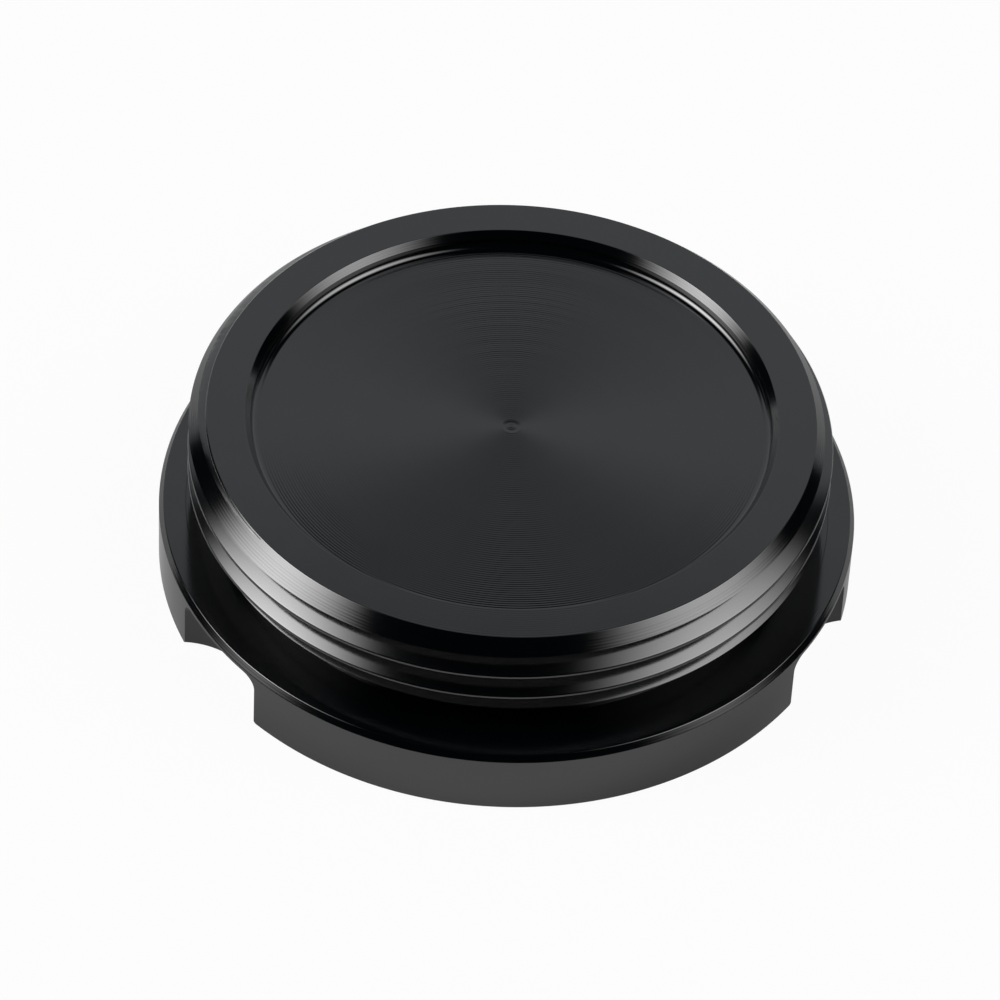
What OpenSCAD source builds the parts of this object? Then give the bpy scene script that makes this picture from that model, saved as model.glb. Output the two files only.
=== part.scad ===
// Oil filler cap, turned and milled from one solid bar and finished black.
// It stands on the outer face of its grip with the threaded plug up.
// The origin is the centre of that outer face, and +Z runs along the thread axis.

/* [Grip] */
// Outer radius of the grip and of its flange
grip_r = 24.5; // [23.5:0.1:32]
// Thickness of the grip, from its outer face to the flange face
grip_h = 5; // [3:0.1:12]
// Leg of the chamfer round the edge of the flange face
rim_chamfer = 0.4; // [0.1:0.05:0.6]
// Leg of the edge break round the outer face
foot_chamfer = 0.2; // [0.05:0.05:0.5]

/* [Finger scallops] */
// Number of scallops milled into the side of the grip
scallop_count = 3; // [2:1:8]
// Radius of a scallop in plan
scallop_r = 5.5; // [3:0.1:8]
// Depth of a scallop, measured in from the side of the grip
scallop_depth = 2.6; // [1:0.1:4]
// Corner radius between the wall of a scallop and the flange lip
scallop_fillet = 1; // [0.2:0.1:2]
// Thickness of the flange lip left over each scallop
lip_h = 0.65; // [0.65:0.05:2]

/* [Threaded plug] */
// Height of the plug above the flange face
plug_h = 8.5; // [7:0.1:20]
// Radius over the thread crests
thread_r = 22.5; // [20.5:0.1:23.2]
// Pitch of the right-hand thread
pitch = 2; // [1:0.1:2.2]
// Direction in which the middle of the thread groove runs out of the end face
thread_start = 198; // [0:1:359]
// Leg of the lead-in chamfer at the end of the plug
lead_chamfer = 1.3; // [0.3:0.1:2]

/* [Thread relief] */
// Length of the straight floor of the relief groove, next to the flange face
relief_h = 0.85; // [0.8:0.05:3]
// Depth of the relief groove below the thread root
relief_cut = 0.75; // [0.5:0.05:1.5]
// Depth to which the relief groove is turned into the flange face
relief_dip = 0.05; // [0.05:0.05:0.5]
// Clearance between the thread crests and the edge of the flange face
relief_gap = 0.1; // [0.05:0.05:0.3]

/* [End recess] */
// Radius of the recess in the end of the plug
recess_r = 18.15; // [4:0.05:19.5]
// Depth of the recess
recess_depth = 1.2; // [1.2:0.1:6]
// Leg of the chamfer round the mouth of the recess
recess_chamfer = 0.42; // [0.1:0.02:0.58]
// Radius between the wall and the floor of the recess
recess_fillet = 0.5; // [0.1:0.05:0.6]

/* [Hidden] */
$fn = 180;

// Steps that the thread groove takes in one turn
thread_steps = 72;
// Angle between the two flanks of the thread
flank_angle = 60;
// How far a cutter reaches past the surface that it opens
overcut = 0.12;

plug_top = grip_h + plug_h;
// A thread of this form has crests an eighth of the pitch wide,
// and is cut 17/24 as deep as the sharp triangle on its pitch
sharp_h = pitch / 2 / tan(flank_angle / 2);
thread_depth = sharp_h * 17 / 24;
groove_w = pitch * 7 / 8;
root_r = thread_r - thread_depth;
root_w = groove_w - 2 * thread_depth * tan(flank_angle / 2);

// The relief groove ends in a shoulder that slopes out to the crests at 45 degrees
relief_r = root_r - relief_cut;
relief_top = grip_h + relief_h;
shoulder_top = relief_top + thread_r - relief_r;
seat_r = thread_r + relief_gap;

// The thread groove starts under the shoulder, clear of the flange face, and ends
// clear of the end face
groove_low = relief_top + relief_cut - root_w;
groove_high = plug_top + groove_w;

// Point on the helix at a radius and direction, dz above the middle of the groove
function helix_point(r, angle, dz) = [
    r * cos(angle),
    r * sin(angle),
    plug_top + pitch * (angle - thread_start) / 360 + dz
];

// Direction in which the middle of the groove is at height z
function helix_angle(z) = thread_start + 360 * (z - plug_top) / pitch;

// Outline of the turned bar, from the outer face up to the end of the plug
module turned_bar() {
    rotate_extrude()
        polygon([
            [0, 0],
            [grip_r - foot_chamfer, 0],
            [grip_r, foot_chamfer],
            [grip_r, grip_h - rim_chamfer],
            [grip_r - rim_chamfer, grip_h],
            [seat_r, grip_h],
            [seat_r, grip_h - relief_dip],
            [relief_r, grip_h - relief_dip],
            [relief_r, relief_top],
            [thread_r, shoulder_top],
            [thread_r, plug_top - lead_chamfer],
            [thread_r - lead_chamfer, plug_top],
            [0, plug_top]
        ]);
}

// Shallow recess with a rounded corner at its floor and a chamfered mouth
module recess_cut() {
    floor_z = plug_top - recess_depth;
    rotate_extrude()
        union() {
            translate([0, floor_z])
                square([recess_r - recess_fillet, recess_depth + overcut]);
            translate([0, floor_z + recess_fillet])
                square([recess_r, recess_depth - recess_fillet + overcut]);
            translate([recess_r - recess_fillet, floor_z + recess_fillet])
                circle(r = recess_fillet);
        }
    mouth_r = recess_r + recess_chamfer;
    translate([0, 0, plug_top - recess_chamfer])
        cylinder(r1 = recess_r, r2 = mouth_r + overcut, h = recess_chamfer + overcut);
}

// One scallop: a round-nosed cut up to the lip, with the edge break at its foot
module scallop_cut() {
    cut_h = grip_h - lip_h;
    rotate_extrude()
        union() {
            translate([0, -overcut])
                square([scallop_r, cut_h - scallop_fillet + overcut]);
            square([scallop_r - scallop_fillet, cut_h]);
            translate([scallop_r - scallop_fillet, cut_h - scallop_fillet])
                circle(r = scallop_fillet);
        }
    translate([0, 0, -foot_chamfer])
        cylinder(r1 = scallop_r + 2 * foot_chamfer, r2 = scallop_r, h = 2 * foot_chamfer);
}

// Helical groove that leaves the thread standing, swept along its middle line
module thread_groove() {
    low = helix_angle(groove_low);
    turn = helix_angle(groove_high) - low;
    steps = ceil(turn / 360 * thread_steps);
    mouth_w = groove_w + 2 * overcut * tan(flank_angle / 2);
    section = [
        [root_r, -root_w / 2],
        [root_r, root_w / 2],
        [thread_r + overcut, mouth_w / 2],
        [thread_r + overcut, -mouth_w / 2]
    ];
    sides = len(section);
    points = [
        for (i = [0:steps])
            for (p = section)
                helix_point(p[0], low + turn * i / steps, p[1])
    ];
    walls = [
        for (i = [0:steps - 1])
            for (j = [0:sides - 1])
                let (a = i * sides + j, b = i * sides + (j + 1) % sides)
                    each [[a, b + sides, b], [a, a + sides, b + sides]]
    ];
    near_end = [for (j = [0:sides - 1]) j];
    far_end = [for (j = [sides - 1:-1:0]) steps * sides + j];
    polyhedron(points = points, faces = concat([near_end], walls, [far_end]), convexity = 10);
}

// The whole cap is one piece of metal
module cap_body() {
    color([0.13, 0.13, 0.14])
        difference() {
            turned_bar();
            recess_cut();
            for (i = [0:scallop_count - 1])
                rotate(90 + 360 * i / scallop_count)
                    translate([grip_r - scallop_depth + scallop_r, 0, 0])
                        scallop_cut();
            thread_groove();
        }
}

cap_body();
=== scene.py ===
"""Looks of an oil filler cap, turned and milled from one bar and anodised black.

The cap stands on the outer face of its grip with the threaded plug up, in the frame's
own axes: +Z along the thread, the origin in the middle of that outer face. Sizes in the
classes are millimetres, and become metres where a mesh is made.
"""

import logging
import math
import random
from dataclasses import dataclass, field
from enum import Enum
from typing import Any

import bpy
from mathutils import Matrix, Vector

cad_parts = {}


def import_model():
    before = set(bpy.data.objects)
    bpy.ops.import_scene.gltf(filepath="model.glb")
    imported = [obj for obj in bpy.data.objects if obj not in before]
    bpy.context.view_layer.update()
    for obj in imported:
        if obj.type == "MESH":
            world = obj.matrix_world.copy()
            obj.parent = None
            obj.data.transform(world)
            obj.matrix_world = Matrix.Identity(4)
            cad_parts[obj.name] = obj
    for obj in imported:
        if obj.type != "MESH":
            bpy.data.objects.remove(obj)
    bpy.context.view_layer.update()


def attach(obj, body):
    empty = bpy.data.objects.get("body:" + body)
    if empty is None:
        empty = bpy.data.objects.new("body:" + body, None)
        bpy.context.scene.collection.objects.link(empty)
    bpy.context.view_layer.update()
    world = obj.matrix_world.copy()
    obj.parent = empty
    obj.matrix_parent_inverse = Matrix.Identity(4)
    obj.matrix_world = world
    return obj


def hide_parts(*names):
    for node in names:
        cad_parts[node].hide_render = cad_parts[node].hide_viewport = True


MM = 0.001
# Points of a mesh that are closer than this become one, in metres
MERGE_GAP = 0.4e-6
# Faces that meet at more than this are shaded with a sharp edge
SHARP_ANGLE = math.radians(28)
# Half the angle between the two flanks of the thread
HALF_FLANK = math.radians(30)
# Turn of the shader's tangent that lays its streaks along the rings
RING_STREAKS = 0.25
WHITE = (1.0, 1.0, 1.0, 1.0)
LOG = logging.getLogger("filler_cap")


class Cut(Enum):
    """How a face of the cap was cut, with the number that marks it in the mesh."""

    TURNED = 0
    THREADED = 1
    MILLED = 2


@dataclass(frozen=True)
class Corner:
    """A corner of an outline, at a radius and a height, and how much it is rounded."""

    r: float
    z: float
    edge: float = 0.0


class Outline:
    """A row of points in the plane of radius and height, with its corners rounded."""

    def __init__(self, corners: list[Corner], steps: int = 4, guard: float = 0.03) -> None:
        """Rounds the corners.

        Args:
            corners: the sharp corners in order.
            steps: straight pieces that a rounded corner is made of.
            guard: distance from a rounding to the extra point that keeps its neighbour flat.
        """
        self.points: list[tuple[float, float]] = []
        for i, corner in enumerate(corners):
            here = Vector((corner.r, corner.z))
            if corner.edge == 0 or i in (0, len(corners) - 1):
                self.points.append(tuple(here))
                continue
            before = Vector((corners[i - 1].r, corners[i - 1].z)) - here
            after = Vector((corners[i + 1].r, corners[i + 1].z)) - here
            self.points += self.rounded(here, before, after, corner.edge, steps, guard)

    @staticmethod
    def rounded(
        here: Vector, before: Vector, after: Vector, edge: float, steps: int, guard: float
    ) -> list[tuple[float, float]]:
        """Works out the points of one rounded corner.

        Args:
            here: the sharp corner.
            before: the way to the corner before it.
            after: the way to the corner after it.
            edge: radius of the rounding.
            steps: straight pieces in it.
            guard: distance to the extra point on each side.

        Returns:
            The points, in order.
        """
        back, ahead = before.normalized(), after.normalized()
        half = back.angle(ahead) / 2
        reach = edge / math.tan(half)
        centre = here + (back + ahead).normalized() * edge / math.sin(half)
        start, end = here + back * reach - centre, here + ahead * reach - centre
        turn = start.angle_signed(end)
        points = []
        if before.length > 2 * (reach + guard):
            points.append(tuple(here + back * (reach + guard)))
        for k in range(steps + 1):
            spin = Matrix.Rotation(-turn * k / steps, 2)
            points.append(tuple(centre + spin @ start))
        if after.length > 2 * (reach + guard):
            points.append(tuple(here + ahead * (reach + guard)))
        return points

    def thing(self, name: str) -> bpy.types.Object:
        """Makes a mesh of the points, for a Geometry Nodes tree to read.

        Args:
            name: the object's name.

        Returns:
            The object, which is taken away once the tree has run.
        """
        mesh = bpy.data.meshes.new(name)
        mesh.from_pydata([(r * MM, 0, z * MM) for r, z in self.points], [], [])
        return bpy.data.objects.new(name, mesh)


class Graph:
    """Adds nodes to a node tree and joins their sockets."""

    def __init__(self, tree: bpy.types.NodeTree) -> None:
        """Keeps the tree that the nodes go into."""
        self.tree = tree

    def put(self, target: bpy.types.NodeSocket, value: Any) -> None:
        """Feeds an input from another node, or sets it to a constant.

        Args:
            target: the input socket.
            value: an output socket, or a constant.
        """
        if isinstance(value, bpy.types.NodeSocket):
            self.tree.links.new(value, target)
        else:
            target.default_value = value

    def node(self, kind: str, *values: Any, **settings: Any) -> bpy.types.Node:
        """Adds a node.

        Args:
            kind: the node's type name.
            values: what feeds its inputs, in order; None leaves an input alone.
            settings: the node's own properties.

        Returns:
            The new node.
        """
        node = self.tree.nodes.new(kind)
        for key, value in settings.items():
            setattr(node, key, value)
        live = [socket for socket in node.inputs if socket.enabled]
        for socket, value in zip(live, values, strict=False):
            if value is not None:
                self.put(socket, value)
        return node

    def out(self, kind: str, *values: Any, **settings: Any) -> bpy.types.NodeSocket:
        """Adds a node and returns its first live output."""
        node = self.node(kind, *values, **settings)
        return next(socket for socket in node.outputs if socket.enabled)

    def sum(self, operation: str, *values: Any) -> bpy.types.NodeSocket:
        """Adds a Math node with that operation and returns its result."""
        return self.out("ShaderNodeMath", *values, operation=operation)

    def ways(self, operation: str, *values: Any) -> bpy.types.NodeSocket:
        """Adds a Vector Math node with that operation and returns its result."""
        return self.out("ShaderNodeVectorMath", *values, operation=operation)

    def split(self, vector: bpy.types.NodeSocket) -> list[bpy.types.NodeSocket]:
        """Returns the three parts of a vector."""
        return list(self.node("ShaderNodeSeparateXYZ", vector).outputs)

    def point(self, x: Any, y: Any, z: Any) -> bpy.types.NodeSocket:
        """Returns the vector made of three numbers."""
        return self.out("ShaderNodeCombineXYZ", x, y, z)

    def blend(self, share: Any, first: Any, second: Any) -> bpy.types.NodeSocket:
        """Blends two colours.

        Args:
            share: how much of the second there is, from 0 to 1.
            first: the colour at 0.
            second: the colour at 1.

        Returns:
            The colour.
        """
        mix = self.node("ShaderNodeMix", data_type="RGBA")
        named = {socket.identifier: socket for socket in mix.inputs}
        self.put(named["Factor_Float"], share)
        self.put(named["A_Color"], first)
        self.put(named["B_Color"], second)
        return next(s for s in mix.outputs if s.identifier == "Result_Color")

    def between(self, low: float, high: float, value: Any) -> bpy.types.NodeSocket:
        """Returns 0 below low, 1 above high and a smooth step from one to the other."""
        return self.out(
            "ShaderNodeMapRange", value, low, high, 0.0, 1.0, interpolation_type="SMOOTHSTEP"
        )


class ShapeRule(Graph):
    """A Geometry Nodes tree with named inputs, run once to give a plain mesh."""

    KINDS = {
        "int": "NodeSocketInt",
        "float": "NodeSocketFloat",
        "Object": "NodeSocketObject",
    }

    def __init__(self, name: str, sizes: dict[str, Any]) -> None:
        """Makes the tree with its named inputs.

        Args:
            name: the tree's name.
            sizes: the value of each named input.
        """
        super().__init__(bpy.data.node_groups.new(name, "GeometryNodeTree"))
        faces = self.tree.interface
        faces.new_socket("Geometry", in_out="INPUT", socket_type="NodeSocketGeometry")
        faces.new_socket("Geometry", in_out="OUTPUT", socket_type="NodeSocketGeometry")
        self.values: dict[str, Any] = {}
        for title, value in sizes.items():
            kind = self.KINDS[type(value).__name__]
            socket = faces.new_socket(title, in_out="INPUT", socket_type=kind)
            self.values[socket.identifier] = value
        self.given = self.tree.nodes.new("NodeGroupInput").outputs

    def outline(self, title: str) -> bpy.types.NodeSocket:
        """Returns the points of the outline that a named input holds."""
        info = self.node("GeometryNodeObjectInfo", self.given[title])
        return info.outputs["Geometry"]

    def grid(self, outline: bpy.types.NodeSocket, columns: Any) -> tuple[Any, Any, Any]:
        """Lays a grid whose columns each hold the outline's points.

        Args:
            outline: the points.
            columns: number of columns.

        Returns:
            The grid, each point's column, and its place in the outline.
        """
        size = self.node("GeometryNodeAttributeDomainSize", outline, component="MESH")
        rows = size.outputs["Point Count"]
        grid = self.out("GeometryNodeMeshGrid", 1.0, 1.0, columns, rows)
        index = self.out("GeometryNodeInputIndex")
        column = self.sum("FLOOR", self.sum("DIVIDE", self.sum("ADD", index, 0.5), rows))
        row = self.sum("SUBTRACT", index, self.sum("MULTIPLY", column, rows))
        place = self.out("GeometryNodeInputPosition")
        found = self.out(
            "GeometryNodeSampleIndex", outline, place, row, data_type="FLOAT_VECTOR"
        )
        return grid, column, found

    def closed(self, grid: Any, position: Any, cut: Cut) -> bpy.types.NodeSocket:
        """Moves a grid's points, joins those that meet and marks the faces.

        Args:
            grid: the grid.
            position: where each point goes.
            cut: how these faces are cut.

        Returns:
            The closed shell.
        """
        moved = self.out("GeometryNodeSetPosition", grid, None, position)
        joined = self.out("GeometryNodeMergeByDistance", moved, None, MERGE_GAP)
        return self.out(
            "GeometryNodeStoreNamedAttribute",
            joined,
            None,
            "cut",
            cut.value,
            data_type="INT",
            domain="FACE",
        )

    def turned(self, title: str, steps: Any, cut: Cut) -> bpy.types.NodeSocket:
        """Turns an outline about +Z.

        Args:
            title: the named input that holds the outline.
            steps: straight pieces in one turn.
            cut: how its faces are cut.

        Returns:
            The turned shell.
        """
        grid, column, place = self.grid(self.outline(title), self.sum("ADD", steps, 1.0))
        angle = self.sum("MULTIPLY", self.sum("DIVIDE", column, steps), math.tau)
        radius, _, height = self.split(place)
        across = self.sum("MULTIPLY", radius, self.sum("COSINE", angle))
        along = self.sum("MULTIPLY", radius, self.sum("SINE", angle))
        return self.closed(grid, self.point(across, along, height), cut)

    def finish(self, geometry: Any, finishes: dict[Cut, bpy.types.Material]) -> None:
        """Ends the tree: instances made real, shading set, and each cut given its finish.

        Args:
            geometry: the last geometry.
            finishes: the material of each kind of cut.
        """
        angle = self.out("GeometryNodeInputMeshEdgeAngle")
        sharp = self.out("FunctionNodeCompare", angle, SHARP_ANGLE, operation="GREATER_THAN")
        smooth = self.out("GeometryNodeSetShadeSmooth", geometry, None, True, domain="FACE")
        edged = self.out("GeometryNodeSetShadeSmooth", smooth, sharp, False, domain="EDGE")
        real = self.out("GeometryNodeRealizeInstances", edged)
        mark = self.out("GeometryNodeInputNamedAttribute", "cut", data_type="INT")
        for cut, material in finishes.items():
            chosen = self.out(
                "FunctionNodeCompare",
                mark,
                cut.value,
                data_type="INT",
                operation="GREATER_EQUAL",
            )
            real = self.out("GeometryNodeSetMaterial", real, chosen, material)
        self.node("NodeGroupOutput", real)

    def run(self, name: str) -> bpy.types.Object:
        """Runs the tree and makes a plain mesh of the result.

        Args:
            name: the new object's name.

        Returns:
            The object, at the origin, with no modifier.
        """
        piece = bpy.data.objects.new(name, bpy.data.meshes.new(name))
        bpy.context.scene.collection.objects.link(piece)
        modifier = piece.modifiers.new(self.tree.name, "NODES")
        modifier.node_group = self.tree
        for identifier, value in self.values.items():
            modifier[identifier] = value
        ready = piece.evaluated_get(bpy.context.evaluated_depsgraph_get())
        mesh = bpy.data.meshes.new_from_object(ready)
        piece.modifiers.remove(modifier)
        piece.data = mesh
        mesh.name = name
        if mesh.materials[0] is None:
            mesh.materials.pop(index=0)
        for value in self.values.values():
            if isinstance(value, bpy.types.Object):
                bpy.data.objects.remove(value)
        return piece


class Skin(Graph):
    """The node tree of one finish, with the coordinates that cutting marks follow."""

    def __init__(self, name: str) -> None:
        """Makes a material with a Principled BSDF.

        Args:
            name: the material's name.
        """
        self.material = bpy.data.materials.new(name)
        self.material.use_nodes = True
        super().__init__(self.material.node_tree)
        self.shader = self.tree.nodes["Principled BSDF"]
        self.place = self.node("ShaderNodeTexCoord").outputs["Object"]
        self.x, self.y, self.z = self.split(self.place)
        self.radius = self.ways("LENGTH", self.point(self.x, self.y, 0.0))
        self.angle = self.sum("ARCTAN2", self.y, self.x)

    def along(self) -> bpy.types.NodeSocket:
        """Works out how far along its outline a turned face lies, which is where its rings fall.

        Returns:
            The distance, in metres.
        """
        normal = self.node("ShaderNodeNewGeometry").outputs["True Normal"]
        outward = self.ways("DOT_PRODUCT", normal, self.point(self.x, self.y, 0.0))
        outward = self.sum("DIVIDE", outward, self.sum("MAXIMUM", self.radius, 1e-6))
        rise = self.split(normal)[2]
        level = self.sum("MULTIPLY", self.radius, rise)
        return self.sum("SUBTRACT", level, self.sum("MULTIPLY", self.z, outward))

    def tilted(self, slope: Any) -> bpy.types.NodeSocket:
        """Tilts the surface's normal along the outline.

        Args:
            slope: how steeply the surface falls along the outline.

        Returns:
            The tilted normal.
        """
        normal = self.node("ShaderNodeNewGeometry").outputs["Normal"]
        onward = self.ways("NORMALIZE", self.ways("CROSS_PRODUCT", self.around(), normal))
        tilt = self.ways("SCALE", onward, slope)
        return self.ways("NORMALIZE", self.ways("ADD", normal, tilt))

    def rings(self, travel: Any, pitch: float, steep: float) -> tuple[Any, Any]:
        """Makes the saw-tooth that a tool's feed leaves: a rise and a fall in each turn.

        Args:
            travel: distance along the outline.
            pitch: feed in one turn, in millimetres.
            steep: share of the pitch that the rise takes.

        Returns:
            The fall along the outline for a depth of one millimetre, and the number of the ring.
        """
        turns = self.sum("DIVIDE", travel, pitch * MM)
        ring = self.sum("FLOOR", turns)
        part = self.sum("SUBTRACT", turns, ring)
        rising = self.sum("LESS_THAN", part, steep)
        fall = 1 / (pitch * (1 - steep))
        rise = 1 / (pitch * steep)
        return self.sum("MULTIPLY_ADD", rising, -fall - rise, fall), ring

    def chance(self, value: Any) -> bpy.types.NodeSocket:
        """Returns a number from 0 to 1 that is fixed by a whole number."""
        return self.out("ShaderNodeTexWhiteNoise", value, noise_dimensions="1D")

    def cloud(self, where: Any, size: float, detail: float = 2.0) -> bpy.types.NodeSocket:
        """Returns soft noise from 0 to 1.

        Args:
            where: coordinates, in metres.
            size: width of a cloud, in millimetres.
            detail: finer layers that are added.

        Returns:
            The noise.
        """
        return self.out("ShaderNodeTexNoise", where, 1 / (size * MM), detail)

    def relief(self, height: Any, depth: float, before: Any = None) -> bpy.types.NodeSocket:
        """Turns heights from 0 to 1 into a normal.

        Args:
            height: the heights.
            depth: what a height of 1 stands for, in millimetres.
            before: a normal that it adds to.

        Returns:
            The normal.
        """
        bump = self.node("ShaderNodeBump")
        self.put(bump.inputs["Strength"], 1.0)
        self.put(bump.inputs["Distance"], depth * MM)
        self.put(bump.inputs["Height"], height)
        if before is not None:
            self.put(bump.inputs["Normal"], before)
        return bump.outputs["Normal"]

    def within(self, radius: float, low: float, high: float) -> bpy.types.NodeSocket:
        """Marks the space inside a radius and between two heights, all in millimetres.

        Args:
            radius: how far out it reaches.
            low: where it starts.
            high: where it ends.

        Returns:
            1 inside it and 0 elsewhere.
        """
        near = self.sum("LESS_THAN", self.radius, radius * MM)
        above = self.sum("GREATER_THAN", self.z, low * MM)
        below = self.sum("LESS_THAN", self.z, high * MM)
        return self.sum("MULTIPLY", near, self.sum("MULTIPLY", above, below))

    def around(self) -> bpy.types.NodeSocket:
        """Returns the way round the axis, which turned and threaded marks follow."""
        return self.point(self.sum("MULTIPLY", self.y, -1.0), self.x, 0.0)

    def set(self, **inputs: Any) -> None:
        """Feeds the shader's inputs.

        Args:
            inputs: what feeds each, by its name with _ for a space.
        """
        for key, value in inputs.items():
            title = key.replace("_", " ").title().replace("Ior", "IOR")
            self.put(self.shader.inputs[title], value)


@dataclass(frozen=True)
class Dye:
    """The black dye in the anodised skin, the same on every face."""

    colour: tuple[float, float, float, float] = (0.0004, 0.0007, 0.001, 1.0)
    ior: float = 1.82
    paler: float = 1.6
    cloud_width: float = 6.0

    def colour_nodes(self, skin: Skin) -> bpy.types.NodeSocket:
        """Makes the colour, slightly uneven where the dye took more or less.

        Args:
            skin: the finish that it is for.

        Returns:
            The colour.
        """
        cloud = skin.cloud(skin.place, self.cloud_width, 3.0)
        pale = tuple(self.paler * part for part in self.colour[:3]) + (1.0,)
        return skin.blend(cloud, self.colour, pale)


@dataclass(frozen=True)
class TurnedSkin:
    """Faces cut on the lathe: fine rings round the axis, deeper on the recess floor."""

    dye: Dye
    feed: float = 0.2
    steep: float = 0.5
    depth: float = 0.0006
    floor_depth: float = 0.0032
    floor_radius: float = 17.8
    floor_low: float = 11.0
    floor_high: float = 13.0
    unevenness: float = 0.2
    hair: float = 0.0004
    hair_width: float = 0.09
    patch_width: float = 3.0
    roughness: float = 0.11
    spread: float = 0.04
    stretch: float = 0.3

    def material(self) -> bpy.types.Material:
        """Builds the material.

        Returns:
            The material.
        """
        skin = Skin("turned_anodised")
        travel = skin.along()
        fall, ring = skin.rings(travel, self.feed, self.steep)
        floor = skin.within(self.floor_radius, self.floor_low, self.floor_high)
        depth = skin.sum("MULTIPLY_ADD", floor, self.floor_depth, self.depth)
        least = 1.0 - self.unevenness / 2
        varied = skin.sum("MULTIPLY_ADD", skin.chance(ring), self.unevenness, least)
        slope = skin.sum("MULTIPLY", fall, skin.sum("MULTIPLY", depth, varied))
        hair = skin.cloud(skin.point(travel, 0.0, 0.0), self.hair_width, 1.0)
        patch = skin.cloud(skin.place, self.patch_width, 3.0)
        rough = skin.sum("MULTIPLY_ADD", patch, self.spread, self.roughness - self.spread / 2)
        skin.set(
            base_color=self.dye.colour_nodes(skin),
            roughness=rough,
            ior=self.dye.ior,
            anisotropic=self.stretch,
            anisotropic_rotation=RING_STREAKS,
            tangent=skin.around(),
            normal=skin.relief(hair, self.hair, skin.tilted(slope)),
        )
        return skin.material


@dataclass(frozen=True)
class ThreadSkin:
    """Thread flanks and root: a grainier cut, with marks that run with the helix."""

    dye: Dye
    feed: float = 0.11
    depth: float = 0.0004
    grain: float = 0.0003
    grain_width: float = 0.16
    around_radius: float = 22.5
    roughness: float = 0.15
    spread: float = 0.05
    stretch: float = 0.3

    def material(self) -> bpy.types.Material:
        """Builds the material.

        Returns:
            The material.
        """
        skin = Skin("threaded_anodised")
        marks = skin.cloud(skin.point(skin.radius, 0.0, 0.0), self.feed, 1.0)
        round_way = skin.sum("MULTIPLY", skin.angle, self.around_radius * MM)
        grain = skin.cloud(skin.point(round_way, skin.radius, skin.z), self.grain_width, 3.0)
        rough = skin.sum("MULTIPLY_ADD", grain, self.spread, self.roughness - self.spread / 2)
        skin.set(
            base_color=self.dye.colour_nodes(skin),
            roughness=rough,
            ior=self.dye.ior,
            anisotropic=self.stretch,
            anisotropic_rotation=RING_STREAKS,
            tangent=skin.around(),
            normal=skin.relief(grain, self.grain, skin.relief(marks, self.depth)),
        )
        return skin.material


@dataclass(frozen=True)
class MilledSkin:
    """Finger scallops: fine upright marks of the cutter."""

    dye: Dye
    depth: float = 0.0008
    width: float = 0.18
    drawn_out: float = 0.06
    patch_width: float = 1.2
    roughness: float = 0.22
    spread: float = 0.05

    def material(self) -> bpy.types.Material:
        """Builds the material.

        Returns:
            The material.
        """
        skin = Skin("milled_anodised")
        low = skin.sum("MULTIPLY", skin.z, self.drawn_out)
        marks = skin.cloud(skin.point(skin.x, skin.y, low), self.width, 2.0)
        patch = skin.cloud(skin.place, self.patch_width, 3.0)
        rough = skin.sum("MULTIPLY_ADD", patch, self.spread, self.roughness - self.spread / 2)
        skin.set(
            base_color=self.dye.colour_nodes(skin),
            roughness=rough,
            ior=self.dye.ior,
            normal=skin.relief(marks, self.depth),
        )
        return skin.material


@dataclass(frozen=True)
class Grip:
    """The round grip with its sealing face and lip."""

    radius: float = 24.5
    height: float = 5.0
    rim: float = 0.32
    rim_drop: float = 0.42
    foot: float = 0.06
    edge: float = 0.07

    def corners(self) -> list[Corner]:
        """Returns the outline from the middle of the outer face to the sealing face."""
        return [
            Corner(0.0, 0.0),
            Corner(self.radius - self.foot, 0.0, self.edge),
            Corner(self.radius, self.foot, self.edge),
            Corner(self.radius, self.height - self.rim_drop, self.edge),
            Corner(self.radius - self.rim, self.height, self.edge),
        ]


@dataclass(frozen=True)
class Thread:
    """The helical groove, cut to 17/24 of its sharp depth, with crests that are full rounds."""

    radius: float = 22.5
    pitch: float = 2.0
    start: float = 198.0
    root: float = 0.1
    gap: float = 0.018
    lap: float = 0.0025
    overcut: float = 0.12
    crest_steps: int = 6

    def sharp(self) -> float:
        """Returns the height of the sharp triangle that stands on one pitch."""
        return self.pitch / 2 / math.tan(HALF_FLANK)

    def depth(self) -> float:
        """Returns how deep the groove is."""
        return self.sharp() * 17 / 24

    def half_mouth(self) -> float:
        """Returns half the width of the groove at its mouth."""
        return self.pitch * 7 / 16

    def root_radius(self) -> float:
        """Returns the radius at the bottom of the groove."""
        return self.radius - self.depth()

    def half_root(self) -> float:
        """Returns half the width of the groove's bottom."""
        return self.half_mouth() - self.depth() * math.tan(HALF_FLANK)

    def section(self) -> Outline:
        """Works out the closed outline of the groove, with height 0 along its middle.

        Returns:
            The outline, with the rounds of the crests on both sides.
        """
        side = [
            Corner(self.root_radius(), 0.0),
            Corner(self.root_radius(), self.half_root(), self.root),
            Corner(self.radius, self.half_mouth()),
        ]
        upper = Outline(side, 3).points
        upper.pop()
        crest = self.sharp() / 8
        centre = Vector((self.radius - crest, self.pitch / 2))
        for k in range(self.crest_steps):
            angle = math.radians(60 * (self.crest_steps - k) / self.crest_steps)
            upper.append((centre.x + crest * math.cos(angle), centre.y - crest * math.sin(angle)))
        wide = centre.y - self.gap
        upper += [(self.radius + self.lap, wide), (self.radius + self.overcut, wide)]
        lower = [(r, -z) for r, z in upper]
        outline = Outline([])
        outline.points = lower + upper[::-1]
        return outline


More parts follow.
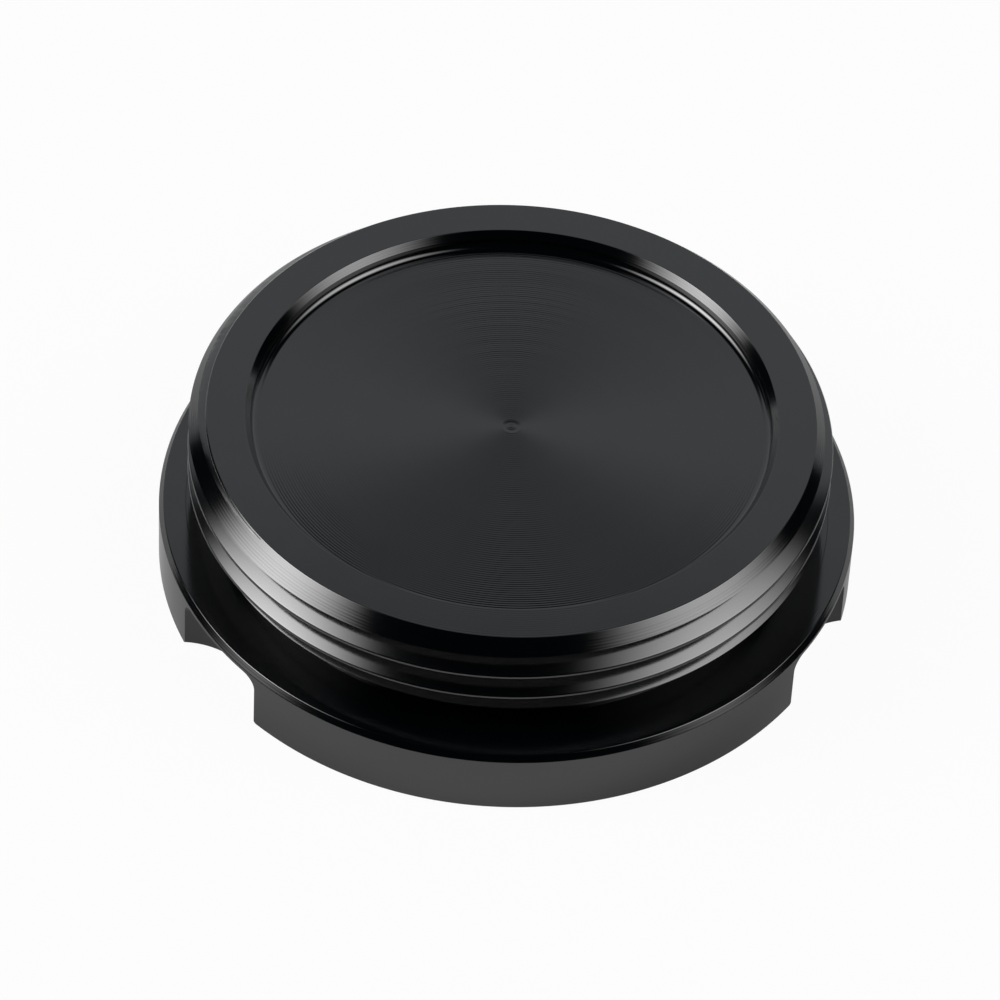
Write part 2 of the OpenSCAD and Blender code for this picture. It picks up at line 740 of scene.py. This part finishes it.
@dataclass(frozen=True)
class Plug:
    """The plug above the grip: relief groove, its shoulder, crests and lead chamfer."""

    height: float = 8.5
    lead: float = 1.3
    relief_height: float = 0.33
    relief_cut: float = 1.27
    relief_dip: float = 0.05
    relief_gap: float = 0.1
    relief_edge: float = 0.12
    edge: float = 0.03
    feed_marks: int = 8
    mark_depth: float = 0.005
    mark_width: float = 0.1
    mark_seed: int = 11

    def corners(self, grip: Grip, thread: Thread) -> list[Corner]:
        """Returns the outline from the foot of the relief groove to the end face.

        Args:
            grip: what the plug stands on.
            thread: the thread that is cut round it.

        Returns:
            The corners.
        """
        relief = thread.root_radius() - self.relief_cut
        top = grip.height + self.height
        relief_top = grip.height + self.relief_height
        seat = thread.radius + self.relief_gap
        dip = grip.height - self.relief_dip
        return [
            Corner(seat, grip.height, self.edge / 2),
            Corner(seat, dip),
            Corner(relief, dip, self.edge),
            Corner(relief, relief_top, self.relief_edge),
            Corner(thread.radius, relief_top + thread.radius - relief, self.edge),
            Corner(thread.radius, top - self.lead, self.edge),
            *self.lead_marks(thread, top),
            Corner(thread.radius - self.lead, top, self.edge),
        ]

    def lead_marks(self, thread: Thread, top: float) -> list[Corner]:
        """Makes the ring marks on the lead chamfer, shallow grooves that the tool left.

        Args:
            thread: the thread below the chamfer.
            top: height of the end face.

        Returns:
            The corners, from the bottom of the chamfer up.
        """
        chance = random.Random(self.mark_seed)
        pitch = self.lead / (self.feed_marks + 1)
        marks = []
        for k in range(self.feed_marks):
            middle = math.sin(math.pi * (k + 0.5) / self.feed_marks)
            depth = self.mark_depth * middle * chance.uniform(0.7, 1.0) * math.sqrt(0.5)
            at = pitch * (k + 0.75 + chance.uniform(-0.1, 0.1))
            for share, sink in ((0.0, 0.0), (0.5, -1.0), (1.0, 0.0)):
                travel = at + share * self.mark_width
                marks.append(
                    Corner(
                        thread.radius - travel + sink * depth,
                        top - self.lead + travel + sink * depth,
                    )
                )
        return marks


@dataclass(frozen=True)
class Recess:
    """The shallow recess in the end of the plug."""

    radius: float = 18.15
    depth: float = 1.2
    mouth: float = 0.41
    mouth_drop: float = 0.484
    fillet: float = 0.5
    fillet_steps: int = 8
    edge: float = 0.05
    guard: float = 0.03
    middle: float = 9.0
    pip: float = 0.6
    pip_guard: float = 0.05
    pip_depth: float = 0.02

    def corners(self, top: float) -> list[Corner]:
        """Returns the outline from the mouth to the middle of the floor.

        Args:
            top: height of the end face.

        Returns:
            The corners.
        """
        base = top - self.depth
        turned = [Corner(self.radius + self.mouth, top, self.edge)]
        turned.append(Corner(self.radius, top - self.mouth_drop, self.edge))
        for k in range(self.fillet_steps + 1):
            angle = math.radians(90 * k / self.fillet_steps)
            turned.append(
                Corner(
                    self.radius - self.fillet * (1 - math.cos(angle)),
                    base + self.fillet * (1 - math.sin(angle)),
                )
            )
        dent = base - self.pip_depth
        return turned + [
            Corner(self.radius - self.fillet - self.guard, base),
            Corner(self.middle, base),
            Corner(self.pip + self.pip_guard, base),
            Corner(self.pip, base),
            Corner(0.7 * self.pip, dent),
            Corner(0.4 * self.pip, base),
            Corner(0.0, dent),
        ]


@dataclass(frozen=True)
class Scallops:
    """Three finger scallops, cut up to the lip with a round-nosed cutter."""

    count: int = 3
    radius: float = 5.5
    depth: float = 2.6
    fillet: float = 1.0
    lip: float = 0.65
    break_edge: float = 0.2
    edge: float = 0.05
    nose_steps: int = 8

    def outline(self, grip: Grip) -> Outline:
        """Returns the outline of the cutter, from below the outer face to its nose.

        Args:
            grip: what it cuts into.

        Returns:
            The outline.
        """
        top = grip.height - self.lip
        wide = self.radius + 2 * self.break_edge
        return Outline(
            [
                Corner(0.0, -self.break_edge),
                Corner(wide, -self.break_edge),
                Corner(self.radius, self.break_edge, self.edge),
                Corner(self.radius, top, self.fillet),
                Corner(0.0, top),
            ],
            self.nose_steps,
        )

    def circle(self, grip: Grip) -> float:
        """Returns the radius of the circle that the cutter's axes stand on."""
        return grip.radius - self.depth + self.radius


@dataclass
class FillerCap:
    """The whole cap, one piece of metal."""

    grip: Grip = field(default_factory=Grip)
    plug: Plug = field(default_factory=Plug)
    thread: Thread = field(default_factory=Thread)
    recess: Recess = field(default_factory=Recess)
    scallops: Scallops = field(default_factory=Scallops)
    turn_steps: int = 360
    cutter_steps: int = 144

    def bar(self) -> Outline:
        """Joins the outline of the turned bar, from the outer face to the recess.

        Returns:
            The outline.
        """
        top = self.grip.height + self.plug.height
        corners = self.grip.corners() + self.plug.corners(self.grip, self.thread)
        return Outline(corners + self.recess.corners(top))

    def sizes(self) -> dict[str, Any]:
        """Lists the named inputs of the tree, with lengths in metres.

        Returns:
            The value of each input, by its name.
        """
        top = self.grip.height + self.plug.height
        relief_top = self.grip.height + self.plug.relief_height
        low = relief_top + self.plug.relief_cut - 2 * self.thread.half_root()
        high = top + 2 * self.thread.half_mouth()
        return {
            "Bar Outline": self.bar().thing("bar_outline"),
            "Scallop Outline": self.scallops.outline(self.grip).thing("scallop_outline"),
            "Groove Section": self.thread.section().thing("groove_section"),
            "Turn Steps": self.turn_steps,
            "Cutter Steps": self.cutter_steps,
            "Pitch": self.thread.pitch * MM,
            "Start Angle": math.radians(self.thread.start),
            "Plug Top": top * MM,
            "Groove Low": low * MM,
            "Groove High": high * MM,
            "Scallop Count": self.scallops.count,
            "Scallop Circle": self.scallops.circle(self.grip) * MM,
        }

    def groove(self, rule: ShapeRule) -> bpy.types.NodeSocket:
        """Sweeps the groove's section along the helix and closes its two ends.

        Args:
            rule: the tree that it is added to.

        Returns:
            The shell of the groove.
        """
        given = rule.given
        per_turn = given["Turn Steps"]
        pitch = given["Pitch"]
        climb = rule.sum("DIVIDE", pitch, per_turn)
        first = rule.sum("DIVIDE", given["Start Angle"], math.tau)
        first = rule.sum("MULTIPLY", first, per_turn)
        below = rule.sum("SUBTRACT", given["Plug Top"], given["Groove Low"])
        low = rule.sum("FLOOR", rule.sum("SUBTRACT", first, rule.sum("DIVIDE", below, climb)))
        above = rule.sum("SUBTRACT", given["Groove High"], given["Plug Top"])
        high = rule.sum("CEIL", rule.sum("ADD", first, rule.sum("DIVIDE", above, climb)))
        steps = rule.sum("SUBTRACT", high, low)
        section = rule.outline("Groove Section")
        grid, column, place = rule.grid(section, rule.sum("ADD", steps, 3.0))
        inner = rule.sum("SUBTRACT", column, 1.0)
        held = rule.sum("MINIMUM", rule.sum("MAXIMUM", inner, 0.0), steps)
        radius, _, height = rule.split(place)
        ends = rule.sum("COMPARE", inner, held, 0.1)
        middle = rule.out("GeometryNodeAttributeStatistic", section, None, radius)
        shift = rule.sum("MULTIPLY", rule.sum("SUBTRACT", radius, middle), ends)
        radius = rule.sum("ADD", middle, shift)
        height = rule.sum("MULTIPLY", height, ends)
        turned = rule.sum("ADD", low, held)
        angle = rule.sum("MULTIPLY", rule.sum("DIVIDE", turned, per_turn), math.tau)
        rise = rule.sum("MULTIPLY", rule.sum("SUBTRACT", turned, first), climb)
        level = rule.sum("ADD", rule.sum("ADD", height, rise), given["Plug Top"])
        across = rule.sum("MULTIPLY", radius, rule.sum("COSINE", angle))
        along = rule.sum("MULTIPLY", radius, rule.sum("SINE", angle))
        return rule.closed(grid, rule.point(across, along, level), Cut.THREADED)

    def build(self, finishes: dict[Cut, bpy.types.Material]) -> bpy.types.Object:
        """Turns the bar, mills the scallops and cuts the thread.

        Args:
            finishes: the material of each kind of cut.

        Returns:
            The finished piece.
        """
        rule = ShapeRule("filler_cap_rule", self.sizes())
        given = rule.given
        bar = rule.turned("Bar Outline", given["Turn Steps"], Cut.TURNED)
        cutter = rule.turned("Scallop Outline", given["Cutter Steps"], Cut.MILLED)
        circle = rule.out(
            "GeometryNodeMeshCircle", given["Scallop Count"], given["Scallop Circle"]
        )
        quarter = rule.out("FunctionNodeEulerToRotation", (0.0, 0.0, math.pi / 2))
        circle = rule.out("GeometryNodeTransform", circle, None, quarter)
        cutters = rule.out("GeometryNodeInstanceOnPoints", circle, None, cutter)
        cutters = rule.out("GeometryNodeRealizeInstances", cutters)
        cut = rule.node(
            "GeometryNodeMeshBoolean", operation="DIFFERENCE", solver="MANIFOLD"
        )
        rule.put(cut.inputs["Mesh 1"], bar)
        rule.put(cut.inputs["Mesh 2"], cutters)
        rule.put(cut.inputs["Mesh 2"], self.groove(rule))
        rule.finish(cut.outputs["Mesh"], finishes)
        return rule.run("filler_cap")


@dataclass(frozen=True)
class SoftLamp:
    """A round soft lamp, brightest in its middle, placed by its direction seen from the cap."""

    name: str
    azimuth: float
    elevation: float
    radiance: float
    spread: float = 30.0
    distance: float = 1.2

    def place(self) -> bpy.types.Object:
        """Makes the lamp.

        Returns:
            The lamp, turned towards the cap.
        """
        lamp = bpy.data.lights.new(self.name, "AREA")
        lamp.shape = "DISK"
        lamp.size = 2 * self.distance * math.tan(math.radians(self.spread))
        lamp.energy = self.radiance * math.pi * (lamp.size / 2) ** 2 * math.pi
        lamp.use_nodes = True
        graph = Graph(lamp.node_tree)
        graph.tree.nodes.clear()
        spot = graph.node("ShaderNodeNewGeometry").outputs["Parametric"]
        across, up, _ = graph.split(graph.ways("SUBTRACT", spot, (0.5, 0.5, 0.0)))
        reach = graph.sum("MULTIPLY", graph.ways("LENGTH", graph.point(across, up, 0.0)), 2.0)
        dim = graph.between(0.0, 1.0, reach)
        glow = graph.sum("SUBTRACT", 1.0, dim)
        shown = graph.out("ShaderNodeEmission", WHITE, glow)
        graph.node("ShaderNodeOutputLight", shown)
        thing = bpy.data.objects.new(self.name, lamp)
        bpy.context.scene.collection.objects.link(thing)
        turn, lift = math.radians(self.azimuth), math.radians(self.elevation)
        way = Vector(
            (math.sin(turn) * math.cos(lift), -math.cos(turn) * math.cos(lift), math.sin(lift))
        )
        thing.matrix_world = Matrix.Translation(way * self.distance) @ way.to_track_quat(
            "Z", "Y"
        ).to_matrix().to_4x4()
        thing.visible_camera = False
        return thing


@dataclass(frozen=True)
class Viewpoint:
    """The photograph's camera: where it stands and how it is turned."""

    azimuth: float = -7.0
    elevation: float = 46.25
    roll: float = 3.25
    distance: float = 17.984 * 24.5
    focal: float = 6206.0
    centre: tuple[float, float] = (4.5, 48.2)
    frame: float = 1000.0
    sensor: float = 36.0

    def place(self) -> bpy.types.Object:
        """Makes the scene's camera.

        Returns:
            The camera.
        """
        lift, roll = math.radians(self.elevation), math.radians(self.roll)
        right = Vector((1.0, 0.0, 0.0))
        up = Vector((0.0, math.sin(lift), math.cos(lift)))
        back = Vector((0.0, -math.cos(lift), math.sin(lift)))
        level = Matrix((right, up, back))
        rolled = Matrix.Rotation(-roll, 3, "Z") @ level
        ahead = Vector((self.centre[0] / self.focal, -self.centre[1] / self.focal, -1.0))
        aimed = Vector((0.0, 0.0, -1.0)).rotation_difference(ahead).to_matrix() @ rolled
        turned = Matrix.Rotation(math.radians(self.azimuth), 3, "Z") @ aimed.transposed()
        camera = bpy.data.cameras.new("camera")
        camera.sensor_width = self.sensor
        camera.lens = self.focal / self.frame * self.sensor
        camera.clip_start = 0.01
        camera.clip_end = 50.0
        thing = bpy.data.objects.new("camera", camera)
        bpy.context.scene.collection.objects.link(thing)
        stand = Matrix.Rotation(math.radians(self.azimuth), 3, "Z") @ back
        thing.matrix_world = Matrix.Translation(stand * self.distance * MM) @ turned.to_4x4()
        bpy.context.scene.camera = thing
        return thing


@dataclass
class Studio:
    """Pale floor, pale backdrop, two soft lamps and the camera."""

    view: Viewpoint = field(default_factory=Viewpoint)
    lamps: list[SoftLamp] = field(
        default_factory=lambda: [
            SoftLamp("soft_lamp_left", -90.5, 38.0, 9.2, 30.5),
            SoftLamp("soft_lamp_right", 70.0, 42.0, 5.0, 34.5),
        ]
    )
    floor_radius: float = 6.0
    floor_corners: int = 96
    floor_drop: float = 0.00002
    floor_glow: float = 0.95
    floor_shine: float = 0.08
    floor_grey: float = 0.62
    backdrop: float = 0.5
    backdrop_colour: tuple[float, float, float, float] = (0.95, 1.0, 1.05, 1.0)
    backdrop_side: tuple[float, float] = (1.15, 1.5)
    backdrop_top: tuple[float, float] = (1.04, 1.17)
    room: float = 0.002

    def floor(self) -> bpy.types.Object:
        """Makes the floor, a disc that looks white and keeps the cap's shadow.

        Returns:
            The floor.
        """
        material = bpy.data.materials.new("pale_floor")
        material.use_nodes = True
        graph = Graph(material.node_tree)
        graph.tree.nodes.clear()
        path = graph.node("ShaderNodeLightPath").outputs
        seen = graph.sum("MAXIMUM", path["Is Camera Ray"], path["Is Transmission Ray"])
        share = graph.sum("MULTIPLY", seen, self.floor_glow)
        shine = graph.sum("MULTIPLY", path["Is Glossy Ray"], self.floor_shine)
        grey = (self.floor_grey, self.floor_grey, self.floor_grey, 1.0)
        matt = graph.out("ShaderNodeBsdfDiffuse", grey)
        white = graph.out("ShaderNodeEmission", WHITE, 1.0)
        mixed = graph.out("ShaderNodeMixShader", graph.sum("MAXIMUM", share, shine), matt, white)
        graph.node("ShaderNodeOutputMaterial", mixed)
        mesh = bpy.data.meshes.new("floor")
        ring = [
            (
                self.floor_radius * math.cos(math.tau * k / self.floor_corners),
                self.floor_radius * math.sin(math.tau * k / self.floor_corners),
                -self.floor_drop,
            )
            for k in range(self.floor_corners)
        ]
        mesh.from_pydata(ring, [], [list(range(self.floor_corners))])
        mesh.materials.append(material)
        floor = bpy.data.objects.new("floor", mesh)
        bpy.context.scene.collection.objects.link(floor)
        return floor

    def surroundings(self) -> None:
        """Makes the world: a dark room with a pale backdrop behind the cap."""
        world = bpy.data.worlds.new("studio")
        world.use_nodes = True
        bpy.context.scene.world = world
        graph = Graph(world.node_tree)
        graph.tree.nodes.clear()
        path = graph.node("ShaderNodeLightPath").outputs
        seen = graph.sum("MAXIMUM", path["Is Camera Ray"], path["Is Transmission Ray"])
        way = graph.node("ShaderNodeTexCoord").outputs["Generated"]
        local = graph.node("ShaderNodeVectorRotate", way, rotation_type="Z_AXIS")
        graph.put(local.inputs["Angle"], math.radians(-self.view.azimuth))
        across, ahead, rise = graph.split(local.outputs["Vector"])
        deep = graph.sum("MAXIMUM", ahead, 0.001)
        beside = graph.sum("DIVIDE", graph.sum("ABSOLUTE", across), deep)
        side = graph.between(*self.backdrop_side, beside)
        high = graph.between(*self.backdrop_top, graph.sum("DIVIDE", rise, deep))
        inside = graph.sum("SUBTRACT", 1.0, graph.sum("MAXIMUM", side, high))
        level = graph.sum("MULTIPLY_ADD", inside, self.backdrop, self.room)
        strength = graph.sum("MAXIMUM", seen, level)
        colour = graph.blend(seen, self.backdrop_colour, WHITE)
        graph.node("ShaderNodeOutputWorld", graph.out("ShaderNodeBackground", colour, strength))

    def build(self) -> None:
        """Makes the camera, the floor, the surroundings and the lamps."""
        self.view.place()
        self.floor()
        self.surroundings()
        for lamp in self.lamps:
            lamp.place()
        scene = bpy.context.scene
        scene.view_settings.view_transform = "Standard"


def main() -> None:
    """Builds the cap and the studio round it."""
    logging.basicConfig(level=logging.INFO, format="%(message)s", force=True)
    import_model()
    dye = Dye()
    finishes = {
        Cut.TURNED: TurnedSkin(dye).material(),
        Cut.THREADED: ThreadSkin(dye).material(),
        Cut.MILLED: MilledSkin(dye).material(),
    }
    cap = FillerCap()
    piece = cap.build(finishes)
    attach(piece, "root")
    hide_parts("cap_body")
    LOG.info("%s: %d faces", piece.name, len(piece.data.polygons))
    Studio().build()
    LOG.info("studio: floor, surroundings, two soft lamps and camera")


if __name__ == "__main__":
    main()
